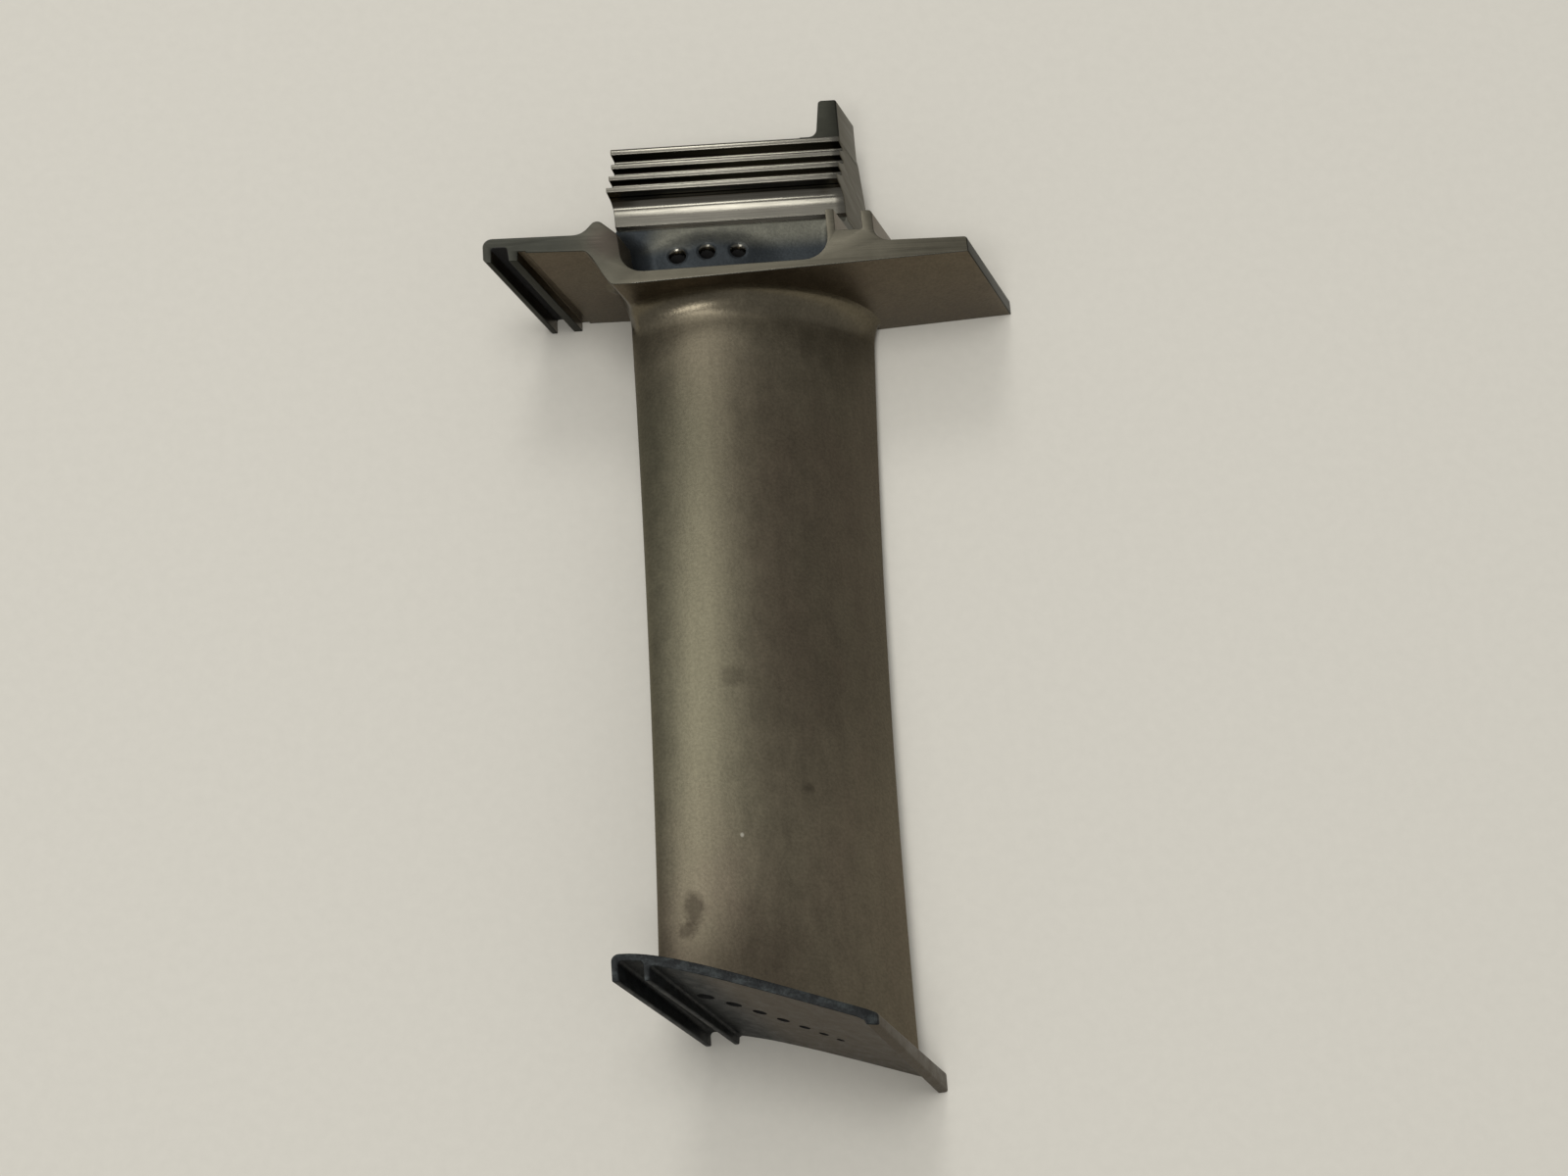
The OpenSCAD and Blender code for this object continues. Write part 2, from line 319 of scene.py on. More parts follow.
def ring_faces(rows, count):
    """Quads of a tube whose rows are closed rings of count points."""
    j, i = np.meshgrid(np.arange(rows - 1), np.arange(count), indexing="ij")
    a = j * count + i
    b = j * count + (i + 1) % count
    return np.stack([a, b, b + count, a + count], -1).reshape(-1, 4).tolist()


def sweep(name, outline_at, materials, rim=0.12, between=()):
    """Outline carried between two ends, with rounded rims.

    outline_at(end, drop, inward) gives the ring of points at an end (0 or 1), drop mm before
    it, moved inwards by inward mm. Along a rim of radius r, drop = r(1 - sin t) and
    inward = r(1 - cos t) for t from 0 to a quarter turn. Further rings go in between. The ends
    and rims take the second material.
    """
    rim_steps = 3
    t = np.linspace(0, math.pi / 2, rim_steps + 1)
    drops, ins = rim * (1 - np.sin(t)), rim * (1 - np.cos(t))
    rings = [outline_at(0, d, i) for d, i in zip(drops[::-1], ins[::-1])]
    rings += list(between)
    rings += [outline_at(1, d, i) for d, i in zip(drops, ins)]
    count, rows = len(rings[0]), len(rings)
    faces = ring_faces(rows, count)
    slots = np.zeros(len(faces) + 2, int)
    faces += [list(range(count))[::-1], list(range((rows - 1) * count, rows * count))]
    slots[-2:] = 1
    slots[:rim_steps * count] = slots[-2 - rim_steps * count:-2] = 1
    return finished(name, np.concatenate(rings), faces, materials, slots)


def even(height):
    """The same height at every station."""
    return lambda a: np.full(len(a), height)


def slanted(outline, top, bottom=0.0):
    """Sweep along the slanted edges, from a level up to a height that depends on the station."""
    def at(end, drop, inward):
        p = inset(outline, inward)
        z = (top(p[:, 0]) - drop) if end else np.full(len(p), bottom + drop)
        return np.stack([p[:, 0] - SLANT * z, p[:, 1], z], 1)
    return at


# ---- airfoil ----
def camber(u, m, p=0.42):
    """Two parabolas that meet at p, m high."""
    return np.where(u < p, m / p**2 * (2 * p * u - u * u),
                    m / (1 - p)**2 * (1 - 2 * p + 2 * p * u - u * u))


def camber_slope(u, m, p=0.42):
    """Slope of those parabolas."""
    return np.where(u < p, 2 * m / p**2 * (p - u), 2 * m / (1 - p)**2 * (p - u))


def half_thickness(u, t, edge):
    """Classic thickness law, a root and four powers of u, with a blunt trailing edge."""
    return t * 5 * (0.2969 * np.sqrt(u) - 0.1260 * u - 0.3516 * u**2 + 0.2843 * u**3
                    - 0.1036 * u**4) + edge * u


def foil_grid(size, s, spread, level):
    """Airfoil sections at the spans s (0 platform, 1 shroud), each spread outwards.

    level is 0 where a section lies in a fillet's foot and 1 beyond it. The upper side runs
    from the trailing edge forward, the lower side back, then a half ellipse closes the edge.
    Behind the trailing edge a fillet spreads only three tenths as far.
    """
    around = 84
    s, spread, level = (np.asarray(v, float)[:, None] for v in (s, spread, level))
    f = np.concatenate([np.linspace(math.pi, 0, around), np.linspace(0, math.pi, around)[1:]])[None]
    side = np.concatenate([np.ones(around), -np.ones(around - 1)])[None]
    u = (1 - np.cos(f)) / 2
    le_x, le_z = -15.85 - 1.5 * s * s, 7.5 + 7.7 * s
    te_x = le_x + mm(size.chord_root) + mm(size.chord_tip - size.chord_root) * s - 4.6 * s * (1 - s)
    te_z = 1.0 + 3.2 * s
    chord = np.hypot(te_x - le_x, te_z - le_z)
    turn = np.arctan2(te_z - le_z, te_x - le_x)
    m = 0.155 + (0.09 - 0.155) * s
    t = mm(size.thick_root) + mm(size.thick_tip - size.thick_root) * s
    g = np.arctan(camber_slope(u, m))

    def section(out):
        w = side * (half_thickness(u, t, mm(size.edge_half)) + out * np.sin(f))
        along = chord * u - out * np.cos(f) * (1 - 0.7 * ease(-np.cos(f))) - w * np.sin(g)
        up = chord * camber(u, m) + w * np.cos(g)
        x = le_x + along * np.cos(turn) - up * np.sin(turn)
        z = le_z + along * np.sin(turn) + up * np.cos(turn)
        # blunt trailing edge closed by a flat half ellipse
        ahead = np.stack([np.cos(turn + g[:, -1:]), np.sin(turn + g[:, -1:])])
        c = np.stack([x[:, :1] + x[:, -1:], z[:, :1] + z[:, -1:]]) / 2
        h = np.stack([x[:, -1:] - x[:, :1], z[:, -1:] - z[:, :1]]) / 2
        v = np.linspace(0, math.pi, 8)[1:-1][None, None]
        cap = c + h * np.cos(v) + ahead * 0.22 * np.sin(v)
        return np.concatenate([x, cap[0]], 1), np.concatenate([z, cap[1]], 1)

    x0, z0 = section(0.0)
    x, z = section(spread)
    z = np.maximum(z, 0.08)
    station = x + SLANT * z
    hub_a = x0 + SLANT * z0 + (station - x0 - SLANT * z0) * (1 - level)
    x = np.where(s < 0.5, x, np.minimum(x, FOIL_REAR - SLANT * z))
    tip_a = np.minimum(x + SLANT * z, FOIL_REAR)
    y = (1 - s) * hub_line(hub_a) + s * shroud_face(tip_a, z, mm(size.span))
    return np.stack([x, y, z], -1)


def foil_stations(size):
    """Spans, spreads and levels: a fine fillet foot, an even span, a fine tip fillet."""
    span = mm(size.span)
    q = np.array([-0.25, -0.06, 0.0, 0.015, 0.04, 0.08, 0.13, 0.19, 0.26, 0.34, 0.43, 0.53,
                  0.64, 0.76, 0.88])
    curve = np.where(q > 0, 1 - np.sqrt(np.clip(1 - (1 - np.clip(q, 0, 1))**2, 0, 1)), 1.0)
    foot = (q * mm(size.fillet_high) / span, curve * mm(size.fillet_out), np.clip(q, 0, 1))
    mid = np.linspace(mm(size.fillet_high) / span, 1 - mm(size.fillet_tip) / span, 110)
    tip_q = q[::-1]
    tip = (1 - tip_q * mm(size.fillet_tip) / span, curve[::-1] * mm(size.fillet_tip), np.ones(len(q)))
    body = (mid, np.zeros(len(mid)), np.ones(len(mid)))
    return [np.concatenate(v) for v in zip(foot, body, tip)]


# ---- materials ----
def put(tree, kind, *inputs, out=None, **more):
    """Adds one node and returns the output named out, or the first in use.

    inputs fill the sockets in use, in their order. Of the rest, a name in lower case is a
    setting and one with a capital is a socket. What comes out of another node is linked.
    """
    made = tree.nodes.new("ShaderNode" + kind)
    for key in [key for key in more if key.islower()]:
        setattr(made, key, more.pop(key))
    used = [socket for socket in made.inputs if socket.enabled]
    for socket, value in [*zip(used, inputs), *((made.inputs[key], more[key]) for key in more)]:
        if isinstance(value, bpy.types.NodeSocket):
            tree.links.new(value, socket)
        else:
            socket.default_value = (*value, 1.0) if socket.type == "RGBA" else value
    return made.outputs[out] if out else next(socket for socket in made.outputs if socket.enabled)


def noise(tree, where, size_mm, detail=3.0, rough=0.55, stretch=(1, 1, 1)):
    """Noise whose grain is size_mm across, drawn out by stretch along each axis."""
    scale = tuple(1000.0 / (size_mm * s) for s in stretch)
    scaled = put(tree, "Mapping", Vector=where, Scale=scale)
    return put(tree, "TexNoise", Vector=scaled, Scale=1.0, Detail=detail, Roughness=rough)


def spot(tree, where, centre, reach, warp):
    """1 at centre, falling to 0 at the reach (x, y, z) in metres; its edge is broken by warp."""
    away = put(tree, "VectorMath", where, centre, operation="SUBTRACT")
    away = put(tree, "VectorMath", away, reach, operation="DIVIDE")
    away = put(tree, "VectorMath", away, operation="LENGTH")
    away = put(tree, "Math", away, warp, operation="ADD")
    return put(tree, "MapRange", away, 0.55, 1.35, 1.0, 0.0)


def across(tree, where, direction, low, high):
    """0 to 1 along a direction of object space, between the positions low and high in metres."""
    d = put(tree, "VectorMath", where, direction, operation="DOT_PRODUCT")
    return put(tree, "MapRange", d, low, high, interpolation_type="SMOOTHSTEP")


def shaded(tree, base, pattern, first, last, amount=1.0):
    """The base times a grey that runs between two stops, each (pattern value, grey)."""
    grey = put(tree, "MapRange", pattern, first[0], last[0], first[1], last[1])
    return put(tree, "Mix", amount, base, grey, data_type="RGBA", blend_type="MULTIPLY")


def metal(name, metallic=1.0, rough=0.5):
    """Plain metal: the material, its node tree, its shader and the object coordinates."""
    made = bpy.data.materials.new(name)
    made.use_nodes = True
    tree = made.node_tree
    shader = tree.nodes["Principled BSDF"]
    shader.inputs["Metallic"].default_value = metallic
    shader.inputs["Roughness"].default_value = rough
    return made, tree, shader, put(tree, "TexCoord", out="Object")


def colour_and_gloss(tree, shader, base, pattern, low, high, factor=None):
    """Links the base colour, and a roughness from low to high over the pattern's middle."""
    tree.links.new(base, shader.inputs["Base Color"])
    rough = put(tree, "MapRange", pattern, 0.3, 0.7, low, high)
    if factor:
        rough = put(tree, "Math", rough, factor, operation="MULTIPLY")
    tree.links.new(rough, shader.inputs["Roughness"])


def finish_bump(tree, shader, height, depth_mm, strength):
    """Links a bump of the given depth from a height pattern."""
    bump = put(tree, "Bump", Strength=strength, Distance=depth_mm / 1000, Height=height)
    tree.links.new(bump, shader.inputs["Normal"])


def cast_alloy(finish, gas_face=False):
    """Investment-cast nickel alloy, heat-oxidised: satin, very fine grain, brown and olive clouds.

    The shell-mould grain is drawn twice as coarse as it is, so that it shows.
    """
    made, tree, shader, where = metal("gas_face_alloy" if gas_face else "cast_nickel_alloy")
    clouds = noise(tree, where, 9.0, 4.0, 0.6, (1, 2.2, 1))
    patches = noise(tree, where, 2.2, 5.0, 0.62, (1, 1.6, 1))
    grain = noise(tree, where, 0.34, 2.0, 0.6)
    streaks = noise(tree, where, 0.9, 3.0, 0.6, (1, 14, 1))
    clouds = put(tree, "MapRange", clouds, 0.36, 0.62)
    base = put(tree, "Mix", clouds, finish.cast, finish.olive, data_type="RGBA")
    if gas_face:
        base = put(tree, "Mix", 0.75, base, finish.gas_face, data_type="RGBA")
    else:
        # the hot trailing half is browner, the forward half olive
        rear = across(tree, where, (1.0, 0.0, 0.0), -0.010, 0.004)
        tip = across(tree, where, (0.0, -1.0, 0.0), 0.022, 0.044)
        browner = put(tree, "Math", rear, tip, operation="MAXIMUM")
        brown = put(tree, "Mix", 0.4, base, finish.cast, data_type="RGBA")
        base = put(tree, "Mix", browner, finish.olive, brown, data_type="RGBA")
        share = put(tree, "Math", rear, 0.3, operation="MULTIPLY")
        base = put(tree, "Mix", share, base, finish.gas_face, data_type="RGBA")
        foot = across(tree, where, (0.0, 1.0, 0.0), 0.016, 0.033)
        base = put(tree, "Mix", foot, base, hex_colour("#665F50"), data_type="RGBA")
        # painted light: the skin is made lighter towards the tip, early on the forward half, late on
        # the trailing half
        ahead = across(tree, where, (0.0, -1.0, 0.0), -0.022, 0.012)
        behind = across(tree, where, (0.0, -1.0, 0.0), 0.010, 0.042)
        tipward_painted_light = put(tree, "Mix", rear, ahead, behind, data_type="RGBA")
        base = shaded(tree, base, tipward_painted_light, (0.0, 1.24), (1.0, 1.78))
        # painted shade: a brown, darker band beside the shroud's nose, weaker on the trailing half
        shroud_shade = across(tree, where, (0.35, -1.0, 0.0), 0.0375, 0.0475)
        weaker = put(tree, "Math", rear, -0.527, 0.62, operation="MULTIPLY_ADD")
        shroud_shade = put(tree, "Math", shroud_shade, weaker, operation="MULTIPLY")
        base = put(tree, "Mix", shroud_shade, base, hex_colour("#3B342A"), data_type="RGBA")
    base = shaded(tree, base, patches, (0.25, 0.80), (0.7, 1.0))
    base = shaded(tree, base, grain, (0.3, 0.84), (0.68, 1.06))
    base = shaded(tree, base, streaks, (0.3, 0.86), (0.62, 1.0), 0.5)
    if not gas_face:
        warp = noise(tree, where, 1.1, 4.0, 0.7)
        warp = put(tree, "Math", warp, 1.7, -0.85, operation="MULTIPLY_ADD")
        for centre, reach, depth in (
                ((-0.0119, -0.0431, 0.0161), (0.0011, 0.0021, 0.004), 0.62),
                ((-0.0128, -0.0455, 0.0161), (0.0009, 0.0010, 0.004), 0.5),
                ((-0.0060, -0.0153, 0.0144), (0.0012, 0.0013, 0.004), 0.3),
                ((0.0018, -0.0283, 0.0118), (0.0007, 0.0006, 0.004), 0.32)):
            mark = spot(tree, where, centre, reach, warp)
            mark = put(tree, "Math", mark, depth, operation="MULTIPLY")
            base = put(tree, "Mix", mark, base, finish.stain, data_type="RGBA")
        nick = spot(tree, where, (-0.0061, -0.0346, 0.0152), (0.0002, 0.00025, 0.003), 0.0)
        base = put(tree, "Mix", nick, base, hex_colour("#A8A395"), data_type="RGBA")
    # the gas stream keeps the fillet at the platform smoother
    near = across(tree, where, (0.0, 1.0, 0.0), 0.0317, 0.0326)
    near = put(tree, "MapRange", near, 0.0, 1.0, 1.05, 0.66)
    colour_and_gloss(tree, shader, base, patches, 0.44, 0.54, near)
    height = put(tree, "Math", patches, 0.6, grain, operation="MULTIPLY_ADD")
    finish_bump(tree, shader, height, 0.03, 0.5)
    return made


def ground_alloy(finish, oxide=False):
    """Surface-ground side faces: grey, with fine lines and light handling marks.

    The lines, in truth a few hundredths of a millimetre apart, are drawn coarser to show.
    """
    made, tree, shader, where = metal("ground_alloy_oxide" if oxide else "ground_alloy")
    lines = noise(tree, where, 0.16, 2.0, 0.6, (90, 1, 90))
    cloud = noise(tree, where, 2.6, 4.0, 0.6)
    if oxide:
        tone = hex_colour("#2D2D27")
    else:
        # greyer and darker over the front wing
        rear = across(tree, where, STATION_AXIS, -0.017, -0.004)
        tone = put(tree, "Mix", rear, hex_colour("#373731"), finish.ground, data_type="RGBA")
    base = shaded(tree, tone, lines, (0.3, 0.84), (0.7, 1.05))
    base = shaded(tree, base, cloud, (0.3, 0.84), (0.65, 1.0))
    # brown heat tint left over the front of the shank
    warp = put(tree, "Math", cloud, 0.5, operation="SUBTRACT")
    tint = spot(tree, where, (-0.0168, 0.0398, 0.0178), (0.0022, 0.0022, 0.004), warp)
    tint = put(tree, "Math", tint, 0.6, operation="MULTIPLY")
    base = put(tree, "Mix", tint, base, hex_colour("#443C36"), data_type="RGBA")
    colour_and_gloss(tree, shader, base, lines, 0.38, 0.52)
    finish_bump(tree, shader, lines, 0.012, 0.5)
    return made


def machined_alloy(finish, shaded_flank=False):
    """Creep-feed ground serrations: bright, with thin dark streaks along the root.

    Their lines are drawn as coarse as those of the side faces. Its near-black copy is painted shade on
    the flanks that face the platform.
    """
    made, tree, shader, where = metal("shaded_flank_serrations" if shaded_flank else "machined_alloy")
    lines = noise(tree, where, 0.13, 3.0, 0.65, (160, 1, 1))
    smear = noise(tree, where, 0.9, 4.0, 0.65, (9, 1, 1))
    # painted shade: near black for the flanks that face the platform
    tone = hex_colour("#24221C") if shaded_flank else finish.machined
    base = shaded(tree, tone, lines, (0.3, 0.78), (0.66, 1.05))
    base = shaded(tree, base, smear, (0.34, 0.78), (0.6, 1.0))
    colour_and_gloss(tree, shader, base, smear, 0.24, 0.2)
    finish_bump(tree, shader, lines, 0.01, 0.14)
    return made


def pocket_alloy(finish):
    """Raw casting inside the shank: cool grey, matt, a little blotchy, with painted shade over the
    dome, along the foot and in the front corner.
    """
    made, tree, shader, where = metal("raw_cast_alloy", 0.85, 0.48)
    clouds = noise(tree, where, 2.4, 4.0, 0.6)
    grain = noise(tree, where, 0.3, 2.0, 0.6)
    # painted shade: dark over the dome, along the foot and in the front corner; paler and browner
    # above them, where the wall is lit
    warp = put(tree, "Math", clouds, 0.5, -0.25, operation="MULTIPLY_ADD")
    dome = spot(tree, where, (-0.0046, 0.0392, 0.0127), (0.0061, 0.0037, 0.02), warp)
    foot = across(tree, where, (0.0, -1.0, 0.04), -0.0426, -0.0398)
    corner = across(tree, where, (-1.0, 0.3, 0.0), 0.0225, 0.0262)
    dark = put(tree, "Math", dome, foot, operation="MAXIMUM")
    dark = put(tree, "Math", dark, corner, operation="MAXIMUM")
    base = put(tree, "Mix", dark, hex_colour("#5A594F"), finish.pocket, data_type="RGBA")
    base = shaded(tree, base, clouds, (0.3, 0.8), (0.65, 1.0))
    base = shaded(tree, base, grain, (0.3, 0.8), (0.7, 1.05))
    tree.links.new(base, shader.inputs["Base Color"])
    height = put(tree, "Math", grain, clouds, operation="ADD")
    finish_bump(tree, shader, height, 0.04, 0.6)
    return made


def charred_alloy(finish, side=False):
    """Shroud metal with burnt deposit: near black along the edges, broken by blue-grey flecks."""
    made, tree, shader, where = metal("charred_edge" if side else "charred_shroud", 0.7)
    cloud = noise(tree, where, 1.6, 5.0, 0.65)
    grain = noise(tree, where, 0.28, 3.0, 0.6)
    fleck = noise(tree, where, 0.9, 5.0, 0.7, (1.8, 1, 1))
    fleck = put(tree, "MapRange", fleck, 0.47, 0.62, 0.0, 0.5 if side else 0.25)
    base = put(tree, "Mix", fleck, finish.soot, finish.fleck, data_type="RGBA")
    if not side:
        metal_tone = shaded(tree, hex_colour("#5A5144"), grain, (0.3, 0.75), (0.7, 1.0))
        wobble = put(tree, "Math", cloud, 0.5, -0.25, operation="MULTIPLY_ADD")
        front = across(tree, where, STATION_AXIS, 0.0008, -0.0056)
        char = put(tree, "Math", front, wobble, operation="ADD", use_clamp=True)
        base = put(tree, "Mix", char, metal_tone, base, data_type="RGBA")
    base = shaded(tree, base, cloud, (0.3, 0.72), (0.65, 1.0))
    colour_and_gloss(tree, shader, base, cloud, 0.4, 0.62)
    height = put(tree, "Math", grain, cloud, operation="ADD")
    finish_bump(tree, shader, height, 0.06 if side else 0.03, 0.7)
    return made


def hole_shade():
    """Painted shade inside a hole or channel: almost black."""
    made, tree, shader, where = metal("painted_hole_shade", 0.2, 0.8)
    dust = noise(tree, where, 0.3, 2.0, 0.6)
    tone = put(tree, "Mix", dust, hex_colour("#0B0B0A"), hex_colour("#1C1A17"), data_type="RGBA")
    tree.links.new(tone, shader.inputs["Base Color"])
    return made


def floor_surface(stage):
    """Plain pale board: matt, with a barely seen paper grain."""
    made, tree, shader, where = metal("pale_floor", 0.0, 0.9)
    grain = noise(tree, where, 1.4, 3.0, 0.6)
    base = shaded(tree, stage.floor, grain, (0.3, 0.97), (0.7, 1.0))
    tree.links.new(base, shader.inputs["Base Color"])
    shader.inputs["Specular IOR Level"].default_value = 0.2
    return made


# ---- operators, one for each piece or group ----
def scene_sizes():
    s = bpy.context.scene
    return s.blade_airfoil, s.blade_foot, s.blade_tip, s.blade_finish


class BLADE_OT_airfoil(bpy.types.Operator):
    """Cambered airfoil with a soft fillet at each end"""
    bl_idname = "blade.airfoil"
    bl_label = "Airfoil"

    def execute(self, context):
        foil, _, _, finish = scene_sizes()
        grid = foil_grid(foil, *foil_stations(foil))
        rows, count = grid.shape[:2]
        faces = ring_faces(rows, count)
        # rungs from the upper side to the lower close each end, so it follows the end's curve
        nose = (count - 6) // 2
        last = (rows - 1) * count
        for i in range(nose):
            rung = list(dict.fromkeys([i, i + 1, 2 * nose - i - 1, 2 * nose - i]))
            faces += [rung, [last + k for k in rung[::-1]]]
        edge = [0, *range(2 * nose, count)]
        faces += [edge, [last + k for k in edge[::-1]]]
        finished("airfoil", grid.reshape(-1, 3), faces, [cast_alloy(finish)], None, 60.0, 2 * nose + 2)
        return {"FINISHED"}


def platform_outline(foot):
    """Platform profile in (station, y): wings, seal lips, hump, pocket, notch and post."""
    front, rear = mm(foot.plat_front), mm(foot.plat_rear)
    lip, wing = WING - mm(foot.lip_depth), WING + mm(foot.wing_thick)
    a = np.linspace(-14.4, -11.0, 22)
    step = [(u, v, 0) for u, v in zip(a, hub_line(a))]
    return round_path([
        (-front, wing, 1.15), (-front, lip + 0.35, 0.4), (-front + 0.35, lip, 0.15),
        (-25.0, lip, 0.12), (-24.95, 5.2, 0.3), (-23.2, 5.2, 0.3), (-23.0, lip + 0.1, 0.12),
        (-21.95, lip + 0.1, 0.12), (-21.9, 4.62, 0.1), (-21.05, 4.62, 0.1), (-20.95, 4.42, 0.1), *step,
        (-9.0, float(hub_line(-9.0)), 0), (rear, gas_line(rear), 0.15), (rear, 3.95, 0.35),
        # post, locking notch and rib
        (19.6, 3.95, 1.7), (19.55, 8.1, 0.45), (18.25, 8.15, 0.3), (18.25, 5.6, 0.2),
        (ROOT_REAR, 5.6, 0.15), (ROOT_REAR, 8.5, 0.15), (14.1, 8.5, 0.25),
        # pocket corners, then the hump in front of the shank
        (14.1, 1.9, 3.0), (-9.9, 1.2, 2.5), (-10.3, 6.4, 1.3), (-12.65, 8.62, 0.85),
        (-14.5, wing, 2.4)], 8)


def pocket_patch(name, foot, side, *materials):
    """Shank wall inside a pocket, as a height over the middle plane.

    Height = wall + fillet where the pocket's edge is near (r - sqrt(r^2 - (r - d)^2) at the
    distance d) - a dip beside the neck + a low dome. The feed holes are snapped circles, cut to
    the depth g(0.45 + 1.1 g) at the distance g from their far edge, 2.4 at most.
    """
    wall, r = mm(foot.web_half), 2.3
    front = ROOT_REAR - mm(foot.root_len)
    a = np.linspace(front + 0.02, ROOT_REAR - 0.04, 292)[:, None]
    low = np.maximum(1.0, hub_line(a) + 0.7)  # stays inside the platform's front step
    Y = low + (10.5 - low) * np.linspace(0, 1, 98)
    A, under = np.broadcast_to(a, Y.shape), Y
    edge = round_path([(ROOT_REAR + 2, 8.6, 0), (14.1, 8.6, 0.25), (14.1, 1.9, 3.0), (-9.9, 1.2, 2.5),
                       (-10.3, 6.4, 1.3), (-12.65, 8.55, 0.85), (-15, 6.2, 0), (-15, -3, 0),
                       (ROOT_REAR + 2, -3, 0)], 8)
    away = np.full(A.shape, 9.0)
    inside = np.zeros(A.shape, bool)
    for p, q in zip(edge, np.roll(edge, -1, 0)):  # a few dozen straight pieces of the edge
        d = q - p
        t = np.clip(((A - p[0]) * d[0] + (Y - p[1]) * d[1]) / (d @ d), 0, 1)
        away = np.minimum(away, np.hypot(A - p[0] - t * d[0], Y - p[1] - t * d[1]))
        crosses = (p[1] > Y) != (q[1] > Y)
        inside ^= crosses & (A < p[0] + (Y - p[1]) * d[0] / (d[1] if d[1] else 1e-9))
    away = np.where(inside, -away, away)  # the closed edge line rings the metal
    d = np.clip(away, 0, r)
    height = wall + r - np.sqrt(r * r - (r - d)**2)
    height -= 0.35 * ease((Y - 9.95) / 0.45)
    holes = []
    if side > 0:
        # x of the drawing, from the station at the wall's height
        X = A - SLANT * (ROOT_MID + wall)
        dome = np.hypot((X + 6.0) / 6.6, (Y - 5.4) / 3.4)
        height += 0.85 * ease(1.35 - dome)
        holes = [(-9.9, 5.9, 1.05), (-6.35, 6.2, 1.0), (-2.65, 6.15, 0.95)]
    z = ROOT_MID + side * height
    x = A - SLANT * z
    n, m = Y.shape
    slots = np.zeros((n - 1, m - 1), int)
    for hx, hy, hr in holes:
        off = np.stack([x - hx, Y - hy], -1)
        dist = np.maximum(np.linalg.norm(off, axis=-1), 1e-6)
        for ring in (hr, hr + 0.15, hr + 0.3):
            snap = np.abs(dist - ring) < 0.075
            x = np.where(snap, hx + off[..., 0] / dist * ring, x)
            Y = np.where(snap, hy + off[..., 1] / dist * ring, Y)
            dist = np.where(snap, ring, dist)
        # each drilling leans towards the airfoil, so its far side slopes in
        gap = np.sqrt(np.clip(hr * hr - (x - hx)**2, 0, None)) - (Y - hy)
        inner = np.where(dist < hr - 0.04, np.minimum(gap * (0.45 + 1.1 * gap), 2.4), 0.0)
        z = z - np.clip((hr + 0.3 - dist) / 0.3, 0, 1) * 0.12 - inner
        mid = (inner[:-1, :-1] + inner[1:, 1:] + inner[1:, :-1] + inner[:-1, 1:]) / 4
        # the deepest part of each hole takes the painted shade, its sloping far side the machined
        # finish
        slots[mid > 0] = 2
        slots[mid > 0.55] = 1
    top = np.stack([x, Y, z], -1).reshape(-1, 3)
    base = np.stack([A - SLANT * ROOT_MID, under, np.full(A.shape, ROOT_MID)], -1)
    j, i = np.meshgrid(np.arange(n - 1), np.arange(m - 1), indexing="ij")
    q = j * m + i
    quads = np.stack([q, q + m, q + m + 1, q + 1], -1).reshape(-1, 4)
    ring = np.concatenate([np.arange(n) * m, (n - 1) * m + np.arange(1, m),
                           np.arange(n - 2, -1, -1) * m + m - 1, np.arange(m - 2, 0, -1)])
    rim = base.reshape(-1, 3)[ring]
    k = len(top)
    low = np.arange(k, k + len(ring))
    walls = np.stack([np.roll(ring, -1), ring, low, np.roll(low, -1)], -1)
    faces = quads.tolist() + walls.tolist() + [low.tolist()]
    index = np.concatenate([slots.reshape(-1), np.zeros(len(walls) + 1, int)])
    return finished(name, np.concatenate([top, rim]), faces, list(materials), index, 50.0, 1)


class BLADE_OT_platform(bpy.types.Operator):
    """Platform with its wings, seal lips, hump, locking notch and post"""
    bl_idname = "blade.platform"
    bl_label = "Platform"

    def execute(self, context):
        _, foot, _, finish = scene_sizes()
        outline = platform_outline(foot)
        made = sweep("platform", slanted(outline, lambda a: plate_top(a, foot)),
                     [cast_alloy(finish, gas_face=True), ground_alloy(finish), hole_shade(),
                      ground_alloy(finish, oxide=True), machined_alloy(finish)], rim=0.1)
        # painted shade: the channel between the seal lips is painted near black; the lips' edges are
        # rubbed
        count = len(outline)
        along = outline + np.roll(outline, -1, 0)
        a, y = along[:, 0] / 2, along[:, 1] / 2
        lip = WING - mm(foot.lip_depth)
        kind = np.where((a > -24.97) & (a < -22.98) & (y > lip + 0.3) & (y < 5.3), 2, 0)
        kind = np.where((a < -21.8) & (y < lip + 0.25), 1, kind)
        kind = np.where(a > mm(foot.plat_rear) - 0.1, 3, kind)
        slots = slots_of(made.data)
        sides = slots[:-2].reshape(-1, count)
        sides[:] = np.where(kind[None] > 0, kind[None], sides)
        burr = (a > -9.2) & (y < gas_line(a) + 0.1)
        sides[-2:, burr] = 4  # bright burr left by the wheel
        made.data.polygons.foreach_set("material_index", slots)
        return {"FINISHED"}


